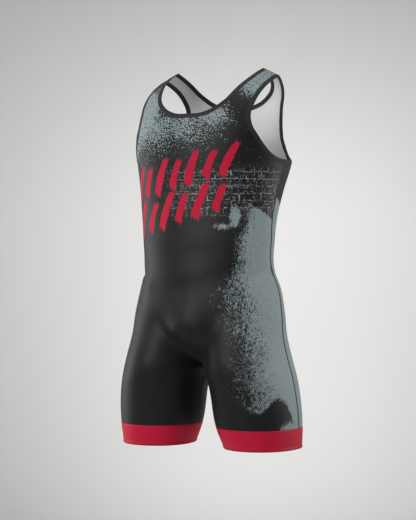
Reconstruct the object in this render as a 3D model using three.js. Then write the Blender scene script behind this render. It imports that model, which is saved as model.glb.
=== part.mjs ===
// A wrestling singlet, filled out as it is worn: two stretch panels, three bindings and two leg bands.
// Millimetres, +Z up. +X is the wearer's left and -Y the front. The origin is midway between the shoulder
// straps, at the underside of the cloth on the shoulder seam, where a wearer carries the garment.
import * as THREE from 'three';

// Cloth and trim
const WALL = 1.6;
const BINDING_WIDTH = 10;
const BINDING_PROUD = 0.5;
const BINDING_EDGE_PROUD = 0.1;
const BINDING_DEPTH = 2.1;
const BINDING_GAP = 0.45;
const SEAM_GAP = 0.3;
const BAND_PROUD = 0.6;
const BAND_DEPTH = 1.9;
const HEM_ROLL = 0.7;

// Heights on the garment
const CHEST_LINE = -130;
const CROTCH = -604;
const BAND_TOP = -722;
const HEM = -765;
const HEM_ROLL_HEIGHT = 5;

// The shoulder: cloth above the chest line is an arch, ARCH long, that ends at the shoulder seam
const ARCH = 215;
const STRAP_MIDDLE = 119;
const STRAP_SLOPE = 0.5;
const STRAP_TOP = 2;
const RIDGE_EASE = 25;
const ARCH_SHAPE = {
  front: { reachLow: 1.03, reachHigh: 0.77, riseLow: 0.35, riseHigh: 0.72 },
  back: { reachLow: 1.3, reachHigh: 1.42, riseLow: 0.59, riseHigh: 0.81 },
};

// Level sections of the body, from the chest line to the hem. half is half the width at the side seam,
// seam is how far the side seam lies behind the origin, front and back are the panels' middles, and the
// two fulnesses say how square each panel turns into the side.
const SECTIONS = [
  { z: -130, half: 168, seam: -42, front: -147, back: 75, frontFull: 0.67, backFull: 0.70 },
  { z: -190, half: 163, seam: -36, front: -148, back: 71, frontFull: 0.60, backFull: 0.77 },
  { z: -225, half: 156, seam: -43, front: -145, back: 66, frontFull: 0.60, backFull: 0.73 },
  { z: -260, half: 151, seam: -51, front: -144, back: 58, frontFull: 0.58, backFull: 0.67 },
  { z: -300, half: 146, seam: -57, front: -145, back: 50, frontFull: 0.56, backFull: 0.62 },
  { z: -345, half: 143, seam: -56, front: -148, back: 43, frontFull: 0.56, backFull: 0.58 },
  { z: -390, half: 141, seam: -54, front: -149, back: 40, frontFull: 0.56, backFull: 0.56 },
  { z: -410, half: 143, seam: -49, front: -150, back: 42, frontFull: 0.56, backFull: 0.54 },
  { z: -440, half: 153, seam: -45, front: -150, back: 50, frontFull: 0.56, backFull: 0.54 },
  { z: -490, half: 162, seam: -47, front: -158, back: 55, frontFull: 0.56, backFull: 0.52 },
  { z: -540, half: 165, seam: -46, front: -167, back: 54, frontFull: 0.56, backFull: 0.50 },
  { z: -590, half: 176, seam: -45, front: -168, back: 49, frontFull: 0.56, backFull: 0.50 },
  { z: -622, half: 185, seam: -44, front: -161, back: 46, frontFull: 0.56, backFull: 0.50 },
  { z: -655, half: 192, seam: -45, front: -152, back: 44, frontFull: 0.56, backFull: 0.50 },
  { z: -722, half: 196, seam: -38, front: -140, back: 40, frontFull: 0.56, backFull: 0.50 },
  { z: -765, half: 193, seam: -34, front: -128, back: 38, frontFull: 0.56, backFull: 0.50 },
];

// Half the gap between the legs: at the inseams, which part quickly under the crotch, and the gentler
// spread that the rest of each leg's section follows
const INSEAM_GAP = [
  { z: -604, half: 0 },
  { z: -607, half: 5 },
  { z: -613, half: 10 },
  { z: -622, half: 13.5 },
  { z: -640, half: 16.5 },
  { z: -658, half: 19 },
  { z: -722, half: 28 },
  { z: -765, half: 45 },
];
const LEG_SPREAD = [
  { z: -545, half: 0 },
  { z: -604, half: 5 },
  { z: -645, half: 15 },
  { z: -722, half: 28 },
  { z: -765, half: 45 },
];
const INSEAM_SHARPNESS = 6;

// How the trunk turns into two legs
const INSEAM_Y = -50;
const SEAT_HEIGHT = { front: 120, back: 125 };
const SEAT_ROUNDNESS = 2.6;
const UNDERSIDE_WIDTH = 0.16;
const HIP_BLEND_START = 170;
const HIP_BLEND_HEIGHT = 200;
const MIDDLE_BLEND_WIDTH = 0.45;
const INSEAM_EASE = 0.16;
const INSEAM_EASE_REACH = 70;
const LEG_ROUNDNESS = 4 / 3;

// Open edges from the shoulder down. x is across, and up is the height on the cloth over the chest line.
const EDGES = {
  neckFront: [
    { x: 99, up: 215 }, { x: 94, up: 170 }, { x: 85, up: 130 }, { x: 76, up: 98 },
    { x: 65, up: 77.5 }, { x: 49, up: 59.5 }, { x: 26, up: 47 }, { x: 0, up: 44.5 },
  ],
  neckBack: [
    { x: 99, up: 215 }, { x: 93, up: 166.5 }, { x: 85, up: 128.5 }, { x: 73, up: 101.5 },
    { x: 54, up: 77 }, { x: 28, up: 61.5 }, { x: 0, up: 58.5 },
  ],
  armFront: [
    { x: 136, up: 215 }, { x: 132, up: 160 }, { x: 128, up: 95 }, { x: 126, up: 62 },
    { x: 128, up: 35 }, { x: 133, up: 10 }, { x: 142, up: -13 }, { x: 151, up: -33 },
    { x: 158, up: -45 }, { x: 162.5, up: -50 }, { x: 164, up: -51 },
  ],
  armBack: [
    { x: 136, up: 215 }, { x: 129, up: 166 }, { x: 121, up: 112 }, { x: 115, up: 73 },
    { x: 116, up: 30 }, { x: 124, up: -6 }, { x: 137, up: -36 }, { x: 150, up: -48 },
    { x: 160.5, up: -51 }, { x: 164, up: -51 },
  ],
};

// How finely the cloth is drawn
const NECK_STEPS = 10;
const UNDERARM_STEPS = 4;
const STRAP_COLUMNS = 8;
const COLUMNS = STRAP_COLUMNS + UNDERARM_STEPS;
const BODY_LEVELS = [-205, -225, -248, -272, -300, -330, -360, -384, -398, -414, -440, -468];
const SETTLING_ROWS = 9;
const INSET_PARTS = 24;
const SEAT_STEPS = 8;
const LEG_LEVELS = [-606, -611, -622, -640, -664, -692];

const BLACK_KNIT = new THREE.MeshStandardMaterial({ color: 0x2a2b2d, roughness: 0.7, metalness: 0 });
const BLACK_BINDING = new THREE.MeshStandardMaterial({ color: 0x1c1c1e, roughness: 0.75, metalness: 0 });
const CRIMSON_BAND = new THREE.MeshStandardMaterial({ color: 0xa5123c, roughness: 0.6, metalness: 0 });

// A smooth curve through the rows of a table, giving one column for any value of another
function columnCurve(rows, key, column) {
  const table = [...rows].sort((a, b) => a[key] - b[key]);
  const at = table.map((row) => row[key]);
  const value = table.map((row) => row[column]);
  const slope = at.slice(1).map((a, i) => (value[i + 1] - value[i]) / (a - at[i]));
  const last = at.length - 1;
  const tangent = at.map((a, i) => {
    if (i === 0) return slope[0];
    if (i === last) return slope[last - 1];
    const before = a - at[i - 1];
    const after = at[i + 1] - a;
    return (slope[i - 1] * after + slope[i] * before) / (before + after);
  });
  return (wanted) => {
    const x = Math.min(Math.max(wanted, at[0]), at[last]);
    let i = 0;
    while (i < last - 1 && x > at[i + 1]) i += 1;
    const span = at[i + 1] - at[i];
    const t = (x - at[i]) / span;
    return value[i] * (1 + 2 * t) * (1 - t) ** 2 + tangent[i] * span * t * (1 - t) ** 2
      + value[i + 1] * t * t * (3 - 2 * t) + tangent[i + 1] * span * t * t * (t - 1);
  };
}

const sectionCurves = Object.fromEntries(
  ['half', 'seam', 'front', 'back', 'frontFull', 'backFull']
    .map((column) => [column, columnCurve(SECTIONS, 'z', column)]),
);
const inseamGap = columnCurve(INSEAM_GAP, 'z', 'half');
const legSpread = columnCurve(LEG_SPREAD, 'z', 'half');

function bezier(a, b, c, d, t) {
  const s = 1 - t;
  return a * s ** 3 + 3 * b * s * s * t + 3 * c * s * t * t + d * t ** 3;
}

function easeInOut(value) {
  const t = Math.min(Math.max(value, 0), 1);
  return t * t * (3 - 2 * t);
}

function mix(a, b, share) {
  return a + (b - a) * share;
}

// One panel's level section at z: across is 0 at the middle of the panel and 1 at the side seam
function trunkPoint(side, across, z) {
  const half = sectionCurves.half(z);
  const seam = sectionCurves.seam(z);
  const middle = sectionCurves[side](z);
  const full = sectionCurves[`${side}Full`](z);
  return {
    x: bezier(0, full * half, half, half, across),
    y: bezier(middle, middle, seam + full * (middle - seam), seam, across),
  };
}

// The same for one leg: across is 0 at the inseam and 1 at the side seam
function legPoint(side, across, z) {
  const half = sectionCurves.half(z);
  const seam = sectionCurves.seam(z);
  const middle = sectionCurves[side](z);
  const spread = legSpread(z);
  const atInseam = inseamGap(z) - spread;
  return {
    x: bezier(spread, spread, half, half, across) + atInseam * (1 - across) ** INSEAM_SHARPNESS,
    y: bezier(INSEAM_Y, INSEAM_Y + LEG_ROUNDNESS * (middle - INSEAM_Y),
      seam + LEG_ROUNDNESS * (middle - seam), seam, across),
  };
}

// How far the cloth has turned from trunk into leg at this place
function legShare(side, across, z) {
  const height = SEAT_HEIGHT[side];
  const down = Math.min(Math.max((CROTCH + height - z) / height, 0), 1);
  const nearMiddle = easeInOut(down * down);
  const atMiddle = mix(down ** SEAT_ROUNDNESS, nearMiddle, easeInOut(across / UNDERSIDE_WIDTH));
  const atSide = easeInOut((CROTCH + HIP_BLEND_START - z) / HIP_BLEND_HEIGHT);
  return mix(atMiddle, atSide, easeInOut(across / MIDDLE_BLEND_WIDTH));
}

// A point of the garment's outer surface. up is the height over the chest line, straight down below it
// and along the arch above it.
function clothPoint(side, across, up) {
  const z = CHEST_LINE + Math.min(up, 0);
  const trunk = trunkPoint(side, across, z);
  if (up > 0) {
    const shape = ARCH_SHAPE[side];
    const share = up / ARCH;
    const inward = Math.hypot(STRAP_MIDDLE, RIDGE_EASE) - Math.hypot(trunk.x, RIDGE_EASE);
    const ridge = inward * STRAP_SLOPE + STRAP_TOP;
    const height = ridge - CHEST_LINE;
    return new THREE.Vector3(
      trunk.x,
      trunk.y * bezier(1, shape.reachLow, shape.reachHigh, 0, share),
      CHEST_LINE + height * bezier(0, shape.riseLow, shape.riseHigh, 1, share),
    );
  }
  const share = legShare(side, across, z);
  const ease = INSEAM_EASE * easeInOut((z - CROTCH + INSEAM_EASE_REACH) / (2 * INSEAM_EASE_REACH));
  const along = across > 0 ? across * across / (across + ease) * (1 + ease) : 0;
  const leg = legPoint(side, along, z);
  return new THREE.Vector3(mix(trunk.x, leg.x, share), mix(trunk.y, leg.y, share), z);
}

// The share across a panel that lies x from the middle, found by halving
function acrossAt(side, x, up) {
  const z = CHEST_LINE + Math.min(up, 0);
  let low = 0;
  let high = 1;
  for (let step = 0; step < 50; step += 1) {
    const middle = (low + high) / 2;
    if (trunkPoint(side, middle, z).x < x) low = middle;
    else high = middle;
  }
  return (low + high) / 2;
}

// Places are kept as { across, up } on one side of the garment
function placePoint(side, place) {
  return clothPoint(side, place.across, place.up);
}

function rowPlaces(inner, outer, steps) {
  return Array.from({ length: steps + 1 }, (_, i) => ({
    across: mix(inner.across, outer.across, i / steps),
    up: mix(inner.up, outer.up, i / steps),
  }));
}

// An open edge as a number of steps. A neck edge ends at the middle of the panel, where its mirror image
// carries on, and an armhole ends on the side seam.
function openEdge(side, rows, steps, endsInMiddle) {
  const before = rows[rows.length - 2];
  const beyond = endsInMiddle ? [{ x: -before.x, up: before.up }] : [];
  const table = [...rows, ...beyond].map((row, i) => ({ ...row, i }));
  const x = columnCurve(table, 'i', 'x');
  const up = columnCurve(table, 'i', 'up');
  return Array.from({ length: steps + 1 }, (_, k) => {
    const i = k / steps * (rows.length - 1);
    if (k === steps) return { across: endsInMiddle ? 0 : 1, up: up(i) };
    return { across: acrossAt(side, x(i), up(i)), up: up(i) };
  });
}

// The change of place that moves a point of the cloth by a given step
function placeStep(side, place, step) {
  const point = placePoint(side, place);
  const shareStep = place.across > 0.5 ? -0.001 : 0.001;
  const upStep = -0.1;
  const alongRow = clothPoint(side, place.across + shareStep, place.up).sub(point).divideScalar(shareStep);
  const alongUp = clothPoint(side, place.across, place.up + upStep).sub(point).divideScalar(upStep);
  const rr = alongRow.dot(alongRow);
  const ru = alongRow.dot(alongUp);
  const uu = alongUp.dot(alongUp);
  const rs = alongRow.dot(step);
  const us = alongUp.dot(step);
  const size = rr * uu - ru * ru;
  return {
    across: (rs * uu - us * ru) / size,
    up: (us * rr - rs * ru) / size,
    normal: alongRow.clone().cross(alongUp).normalize(),
    upLength: Math.sqrt(uu),
  };
}

// A place moved by a step on the cloth, in short parts because the cloth's slope changes on the way
function movedPlace(side, place, step) {
  const part = step.clone().divideScalar(INSET_PARTS);
  let moved = place;
  for (let i = 0; i < INSET_PARTS; i += 1) {
    const change = placeStep(side, moved, part);
    moved = { across: moved.across + change.across, up: moved.up + change.up };
  }
  return moved;
}

// A place moved straight down the cloth by some length, in the same way
function loweredPlace(side, place, length) {
  let lowered = place;
  for (let i = 0; i < INSET_PARTS; i += 1) {
    const { upLength } = placeStep(side, lowered, new THREE.Vector3());
    lowered = { across: place.across, up: lowered.up - length / INSET_PARTS / upLength };
  }
  return lowered;
}

// The direction along the cloth, square to an open edge and away from its opening, if turn is right
function awayFromEdge(side, edge, k, turn) {
  const along = placePoint(side, edge[k + 1]).sub(placePoint(side, edge[k - 1]));
  const { normal } = placeStep(side, edge[k], new THREE.Vector3());
  return along.cross(normal).normalize().multiplyScalar(turn);
}

// The open edge moved in by some width on the cloth, towards the panel's other open edge
function insetEdge(side, edge, facing, width, shoulderX) {
  const toFacing = placePoint(side, facing[1]).sub(placePoint(side, edge[1]));
  const turn = Math.sign(awayFromEdge(side, edge, 1, 1).dot(toFacing));
  return edge.map((place, k) => {
    if (k === 0) return { across: acrossAt(side, shoulderX, place.up), up: place.up };
    if (k === edge.length - 1) return loweredPlace(side, place, width);
    return movedPlace(side, place, awayFromEdge(side, edge, k, turn).multiplyScalar(width));
  });
}

// The shoulder seam has its places evenly across, so that front and back meet
function shoulderPlaces(side, inner, outer) {
  const innerX = placePoint(side, inner).x;
  const outerX = placePoint(side, outer).x;
  return Array.from({ length: STRAP_COLUMNS + 1 }, (_, i) => ({
    across: acrossAt(side, mix(innerX, outerX, i / STRAP_COLUMNS), ARCH),
    up: ARCH,
  }));
}

// Level rows below the armhole, as heights over the chest line
function levelHeights() {
  const seatTop = SEAT_HEIGHT.back;
  const seat = Array.from({ length: SEAT_STEPS }, (_, k) => (
    CROTCH + seatTop * (1 - Math.sin((k + 1) / SEAT_STEPS * Math.PI / 2))
  ));
  return [...BODY_LEVELS, ...seat, ...LEG_LEVELS, BAND_TOP].map((z) => z - CHEST_LINE);
}

// Places down one half of a panel, from the shoulder seam to the leg band: the strap between its two
// open edges, then the body, which starts at the strap's last row and the underarm edge and levels out
function panelPlaces(panelEdges, side) {
  const { neckPanel, armPanel } = panelEdges;
  const strap = neckPanel.map((inner, k) => (
    k === 0 ? shoulderPlaces(side, inner, armPanel[0]) : rowPlaces(inner, armPanel[k], STRAP_COLUMNS)
  ));
  const start = [...strap[NECK_STEPS], ...armPanel.slice(NECK_STEPS + 1)];
  const startUp = start[COLUMNS].up;
  const body = levelHeights().map((up, k) => {
    const unsettled = 1 - easeInOut((k + 1) / SETTLING_ROWS);
    return start.map((place, c) => ({
      across: mix(c / COLUMNS, place.across, unsettled),
      up: up + (place.up - startUp) * unsettled,
    }));
  });
  return { strap, body: [start, ...body] };
}

function garmentEdges(side) {
  const isFront = side === 'front';
  const neckTable = isFront ? EDGES.neckFront : EDGES.neckBack;
  const armTable = isFront ? EDGES.armFront : EDGES.armBack;
  const neck = openEdge(side, neckTable, NECK_STEPS, true);
  const arm = openEdge(side, armTable, NECK_STEPS + UNDERARM_STEPS, false);
  const neckInset = (width) => insetEdge(side, neck, arm, width, neckTable[0].x + width);
  const armInset = (width) => insetEdge(side, arm, neck, width, armTable[0].x - width);
  return {
    neck,
    neckMiddle: neckInset(BINDING_WIDTH / 2),
    neckPanel: neckInset(BINDING_WIDTH),
    arm,
    armMiddle: armInset(BINDING_WIDTH / 2),
    armPanel: armInset(BINDING_WIDTH),
  };
}

// A patch is a grid of outer points with the side and hand that say which way it faces
function patch(rows, side, hand) {
  const points = rows.map((row) => row.map((p) => new THREE.Vector3(p.x * hand, p.y, p.z)));
  return { points, facing: (side === 'front' ? 1 : -1) * hand };
}

function keyOf(point) {
  return [point.x, point.y, point.z].map((value) => Math.round(value * 1000) + 0).join(' ');
}

function patchTriangles({ points, facing }) {
  const triangles = [];
  for (let r = 0; r + 1 < points.length; r += 1) {
    for (let c = 0; c + 1 < points[r].length; c += 1) {
      const a = [r, c];
      const b = [r + 1, c];
      const d = [r, c + 1];
      const e = [r + 1, c + 1];
      const pair = facing > 0 ? [[a, b, e], [a, e, d]] : [[a, e, b], [a, d, e]];
      triangles.push(...pair);
    }
  }
  return triangles.map((corners) => corners.map(([r, c]) => points[r][c]))
    .filter(([p, q, s]) => new Set([keyOf(p), keyOf(q), keyOf(s)]).size === 3);
}

// Outward directions for every point of the garment, shared across its seams
function outwardDirections(patches) {
  const sums = new Map();
  for (const one of patches) {
    for (const [p, q, s] of patchTriangles(one)) {
      const face = q.clone().sub(p).cross(s.clone().sub(p));
      for (const corner of [p, q, s]) {
        const key = keyOf(corner);
        if (!sums.has(key)) sums.set(key, new THREE.Vector3());
        sums.get(key).add(face);
      }
    }
  }
  return (point) => sums.get(keyOf(point)).clone().normalize();
}

// A closed wall of cloth from patches that share their edges. proud and depth give how far the outer and
// inner faces lie from the surface, shift moves a point along the surface before that.
function clothSolid(name, material, patches, proud, depth, shift) {
  const index = new Map();
  const vertices = [];
  const vertexOf = (point, row, column) => {
    const key = keyOf(point);
    if (!index.has(key)) {
      const normal = outward(point);
      const base = point.clone().add(shift(point, row, column));
      index.set(key, vertices.length / 2);
      vertices.push(base.clone().addScaledVector(normal, proud(row, column)));
      vertices.push(base.clone().addScaledVector(normal, -depth(row, column)));
    }
    return index.get(key);
  };
  for (const { points } of patches) {
    points.forEach((row, r) => row.forEach((point, c) => vertexOf(point, r, c)));
  }
  const faces = patches.flatMap(patchTriangles).map((corners) => corners.map((p) => index.get(keyOf(p))));
  const edges = new Set(faces.flatMap(([a, b, c]) => [`${a} ${b}`, `${b} ${c}`, `${c} ${a}`]));
  const triangles = [];
  for (const [a, b, c] of faces) {
    triangles.push([2 * a, 2 * b, 2 * c]);
    triangles.push([2 * a + 1, 2 * c + 1, 2 * b + 1]);
  }
  for (const edge of edges) {
    const [a, b] = edge.split(' ').map(Number);
    if (edges.has(`${b} ${a}`)) continue;
    triangles.push([2 * a, 2 * a + 1, 2 * b + 1]);
    triangles.push([2 * a, 2 * b + 1, 2 * b]);
  }
  const geometry = new THREE.BufferGeometry();
  const positions = vertices.flatMap((point) => point.toArray());
  geometry.setAttribute('position', new THREE.Float32BufferAttribute(positions, 3));
  geometry.setIndex(triangles.flat());
  geometry.computeVertexNormals();
  const mesh = new THREE.Mesh(geometry, material);
  mesh.name = name;
  return mesh;
}

const SIDES = ['front', 'back'];
const HANDS = [[1, 'left'], [-1, 'right']];
const NO_SHIFT = new THREE.Vector3();

const edges = Object.fromEntries(SIDES.map((side) => [side, garmentEdges(side)]));

// A binding strip has three points across: the open edge, its middle and the panel's edge
function bindingRows(side, open, middle, panel) {
  return open.map((_, k) => [open, middle, panel].map((edge) => placePoint(side, edge[k])));
}

// A leg band has its top edge, its middle, the top of the rolled hem and the hem
function bandRows(side) {
  const levels = [BAND_TOP, (BAND_TOP + HEM) / 2, HEM + HEM_ROLL_HEIGHT, HEM];
  return levels.map((z) => {
    const up = z - CHEST_LINE;
    return rowPlaces({ across: 0, up }, { across: 1, up }, COLUMNS).map((place) => placePoint(side, place));
  });
}

const panels = { front: [], back: [] };
const neckStrips = [];
const armStrips = { left: [], right: [] };
const bands = { left: [], right: [] };
for (const side of SIDES) {
  const { neck, neckMiddle, neckPanel, arm, armMiddle, armPanel } = edges[side];
  const { strap, body } = panelPlaces(edges[side], side);
  const neckRows = bindingRows(side, neck, neckMiddle, neckPanel);
  const armRows = bindingRows(side, armPanel, armMiddle, arm);
  for (const [hand, name] of HANDS) {
    for (const places of [strap, body]) {
      panels[side].push(patch(places.map((row) => row.map((place) => placePoint(side, place))), side, hand));
    }
    neckStrips.push(patch(neckRows, side, hand));
    armStrips[name].push(patch(armRows, side, hand));
    bands[name].push(patch(bandRows(side), side, hand));
  }
}

const outward = outwardDirections([
  ...panels.front, ...panels.back, ...neckStrips, ...armStrips.left, ...armStrips.right,
  ...bands.left, ...bands.right,
]);

function panelMesh(side) {
  const name = `${side}_panel`;
  const mesh = clothSolid(name, BLACK_KNIT, panels[side], () => 0, () => WALL, () => NO_SHIFT);
  mesh.position.y = (side === 'front' ? -1 : 1) * SEAM_GAP / 2;
  return mesh;
}

// A binding strip keeps a small gap to the panel along the column that joins it
function bindingMesh(name, strips, joinColumn) {
  const openColumn = 2 - joinColumn;
  const towardsOpen = new Map();
  for (const row of strips.flatMap((strip) => strip.points)) {
    const step = row[openColumn].clone().sub(row[joinColumn]).setLength(BINDING_GAP);
    towardsOpen.set(keyOf(row[joinColumn]), step);
  }
  const proud = (row, column) => (column === 1 ? BINDING_PROUD : BINDING_EDGE_PROUD);
  const shift = (point, row, column) => (column === joinColumn ? towardsOpen.get(keyOf(point)) : NO_SHIFT);
  return clothSolid(name, BLACK_BINDING, strips, proud, () => BINDING_DEPTH, shift);
}

function bandMesh(name, rings) {
  const gapDown = new THREE.Vector3(0, 0, -SEAM_GAP);
  const proud = (row) => (row >= 2 ? BAND_PROUD + HEM_ROLL : BAND_PROUD);
  const shift = (point, row) => (row === 0 ? gapDown : NO_SHIFT);
  return clothSolid(name, CRIMSON_BAND, rings, proud, () => BAND_DEPTH, shift);
}

const singlet = new THREE.Group();
singlet.add(panelMesh('front'));
singlet.add(panelMesh('back'));
singlet.add(bindingMesh('neck_binding', neckStrips, 2));
singlet.add(bindingMesh('armhole_binding_left', armStrips.left, 0));
singlet.add(bindingMesh('armhole_binding_right', armStrips.right, 0));
singlet.add(bandMesh('leg_band_left', bands.left));
singlet.add(bandMesh('leg_band_right', bands.right));

export default singlet;
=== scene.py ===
import math
import bpy
import numpy as np
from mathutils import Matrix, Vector


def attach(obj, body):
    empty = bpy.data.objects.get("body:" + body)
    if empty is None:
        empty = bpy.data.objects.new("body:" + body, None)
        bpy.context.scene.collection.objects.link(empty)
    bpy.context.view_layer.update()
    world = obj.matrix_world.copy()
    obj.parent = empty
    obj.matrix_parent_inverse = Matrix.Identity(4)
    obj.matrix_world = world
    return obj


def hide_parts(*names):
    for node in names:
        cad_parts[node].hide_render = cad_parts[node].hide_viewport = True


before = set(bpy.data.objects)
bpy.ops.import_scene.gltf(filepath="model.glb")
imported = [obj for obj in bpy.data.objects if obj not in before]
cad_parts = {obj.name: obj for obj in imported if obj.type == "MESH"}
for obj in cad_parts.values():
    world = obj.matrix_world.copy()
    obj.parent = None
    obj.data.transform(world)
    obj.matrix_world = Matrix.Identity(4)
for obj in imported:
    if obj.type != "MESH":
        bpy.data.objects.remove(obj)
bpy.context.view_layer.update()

# The camera stands level, a little to the wearer's left of the front, as the photograph is taken.
# The garment's middle is just right of the picture's middle.
CAMERA_AZIMUTH = math.radians(27.0)
CAMERA_DISTANCE = 3.0
LENS = 100.3
GARMENT_MIDDLE = Vector((0.0, -0.038, -0.3888))
MIDDLE_RIGHT_OF_CENTRE = 0.0083
MIDDLE_BELOW_CENTRE = 0.0041

to_camera = Vector((math.sin(CAMERA_AZIMUTH), -math.cos(CAMERA_AZIMUTH), 0.0))
to_right = Vector((math.cos(CAMERA_AZIMUTH), math.sin(CAMERA_AZIMUTH), 0.0))
camera_data = bpy.data.cameras.new("camera")
camera_data.lens = LENS
camera_data.sensor_width = 36.0
camera = bpy.data.objects.new("camera", camera_data)
bpy.context.collection.objects.link(camera)
picture_middle = GARMENT_MIDDLE - to_right * MIDDLE_RIGHT_OF_CENTRE + Vector((0, 0, MIDDLE_BELOW_CENTRE))
camera.location = picture_middle + to_camera * CAMERA_DISTANCE
camera.rotation_mode = "QUATERNION"
camera.rotation_quaternion = (-to_camera).to_track_quat("-Z", "Y")
bpy.context.scene.camera = camera


# The front and back panels are the main pieces: stretch knit, cut in one from the shoulder straps to the
# thighs and printed before sewing. They meet at the shoulders, sides and inseams. The knit is black and
# slate grey outside and pale grey inside, and it stands filled out as on a wearer, with soft creases.
MM = 0.001
CHEST_LINE = -130.0
CROTCH = -604.0
BAND_TOP = -722.0
HEM = -765.0
ARCH = 215.0
STRAP_MIDDLE = 119.0
STRAP_SLOPE = 0.5
STRAP_TOP = 2.0
RIDGE_EASE = 25.0
ARCH_SHAPE = {"front": (1.03, 0.77, 0.35, 0.72), "back": (1.3, 1.42, 0.59, 0.81)}
SECTION_COLUMNS = ("z", "half", "seam", "front", "back", "front_full", "back_full")
SECTIONS = [
    (-130, 168, -42, -147, 75, 0.67, 0.70),
    (-190, 163, -36, -148, 71, 0.60, 0.77),
    (-225, 156, -43, -145, 66, 0.60, 0.73),
    (-260, 151, -51, -144, 58, 0.58, 0.67),
    (-300, 146, -57, -145, 50, 0.56, 0.62),
    (-345, 143, -56, -148, 43, 0.56, 0.58),
    (-390, 141, -54, -149, 40, 0.56, 0.56),
    (-410, 143, -49, -150, 42, 0.56, 0.54),
    (-440, 153, -45, -150, 50, 0.56, 0.54),
    (-490, 162, -47, -158, 55, 0.56, 0.52),
    (-540, 165, -46, -167, 54, 0.56, 0.50),
    (-590, 176, -45, -168, 49, 0.56, 0.50),
    (-622, 185, -44, -161, 46, 0.56, 0.50),
    (-655, 192, -45, -152, 44, 0.56, 0.50),
    (-722, 196, -38, -140, 40, 0.56, 0.50),
    (-765, 193, -34, -128, 38, 0.56, 0.50),
]
INSEAM_GAP = [
    (-604, 0), (-607, 5), (-613, 10), (-622, 13.5), (-640, 16.5), (-658, 19), (-722, 28), (-765, 45),
]
LEG_SPREAD = [(-545, 0), (-604, 5), (-645, 15), (-722, 28), (-765, 45)]
INSEAM_SHARPNESS = 6
INSEAM_Y = -50.0
SEAT_HEIGHT = {"front": 120.0, "back": 125.0}
SEAT_ROUNDNESS = 2.6
UNDERSIDE_WIDTH = 0.16
HIP_BLEND_START = 170.0
HIP_BLEND_HEIGHT = 200.0
MIDDLE_BLEND_WIDTH = 0.45
INSEAM_EASE = 0.16
INSEAM_EASE_REACH = 70.0
LEG_ROUNDNESS = 4 / 3
NECK_EDGE = {
    "front": [(99, 215), (94, 170), (85, 130), (76, 98), (65, 77.5), (49, 59.5), (26, 47), (0, 44.5)],
    "back": [(99, 215), (93, 166.5), (85, 128.5), (73, 101.5), (54, 77), (28, 61.5), (0, 58.5)],
}
ARM_EDGE = {
    "front": [(136, 215), (132, 160), (128, 95), (126, 62), (128, 35), (133, 10), (142, -13),
             (151, -33), (158, -45), (162.5, -50), (164, -51)],
    "back": [(136, 215), (129, 166), (121, 112), (115, 73), (116, 30), (124, -6), (137, -36),
            (150, -48), (160.5, -51), (164, -51)],
}
BINDING_WIDTH = 10.0
CLOTH = 0.9
SIDES = ("front", "back")
HANDS = {"left": 1, "right": -1}


def smooth_curve(rows, column):
    """A smooth curve through a table's first column and one other, as in the solids."""
    rows = sorted(rows)
    at = np.array([row[0] for row in rows], float)
    value = np.array([row[column] for row in rows], float)
    slope = np.diff(value) / np.diff(at)
    span = np.diff(at)
    tangent = np.empty_like(value)
    tangent[0] = slope[0]
    tangent[-1] = slope[-1]
    tangent[1:-1] = (slope[:-1] * span[1:] + slope[1:] * span[:-1]) / (span[:-1] + span[1:])

    def curve(wanted):
        x = np.clip(wanted, at[0], at[-1])
        i = np.clip(np.searchsorted(at, x, side="right") - 1, 0, len(at) - 2)
        t = (x - at[i]) / span[i]
        start = value[i] * (1 + 2 * t) * (1 - t) ** 2 + tangent[i] * span[i] * t * (1 - t) ** 2
        end = value[i + 1] * t * t * (3 - 2 * t) + tangent[i + 1] * span[i] * t * t * (t - 1)
        return start + end

    return curve


section = {name: smooth_curve(SECTIONS, i) for i, name in enumerate(SECTION_COLUMNS) if i}
inseam_gap = smooth_curve(INSEAM_GAP, 1)
leg_spread = smooth_curve(LEG_SPREAD, 1)


def bezier(a, b, c, d, t):
    s = 1 - t
    return a * s**3 + 3 * b * s * s * t + 3 * c * s * t * t + d * t**3


def ease_in_out(value):
    t = np.clip(value, 0, 1)
    return t * t * (3 - 2 * t)


def mix(a, b, share):
    return a + (b - a) * share


def trunk_point(side, across, z):
    half, seam = section["half"](z), section["seam"](z)
    middle, full = section[side](z), section[side + "_full"](z)
    x = bezier(0, full * half, half, half, across)
    return x, bezier(middle, middle, seam + full * (middle - seam), seam, across)


def leg_point(side, across, z):
    half, seam, middle = section["half"](z), section["seam"](z), section[side](z)
    spread = leg_spread(z)
    x = bezier(spread, spread, half, half, across)
    x = x + (inseam_gap(z) - spread) * (1 - across) ** INSEAM_SHARPNESS
    turn_in = INSEAM_Y + LEG_ROUNDNESS * (middle - INSEAM_Y)
    turn_out = seam + LEG_ROUNDNESS * (middle - seam)
    return x, bezier(INSEAM_Y, turn_in, turn_out, seam, across)


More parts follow.
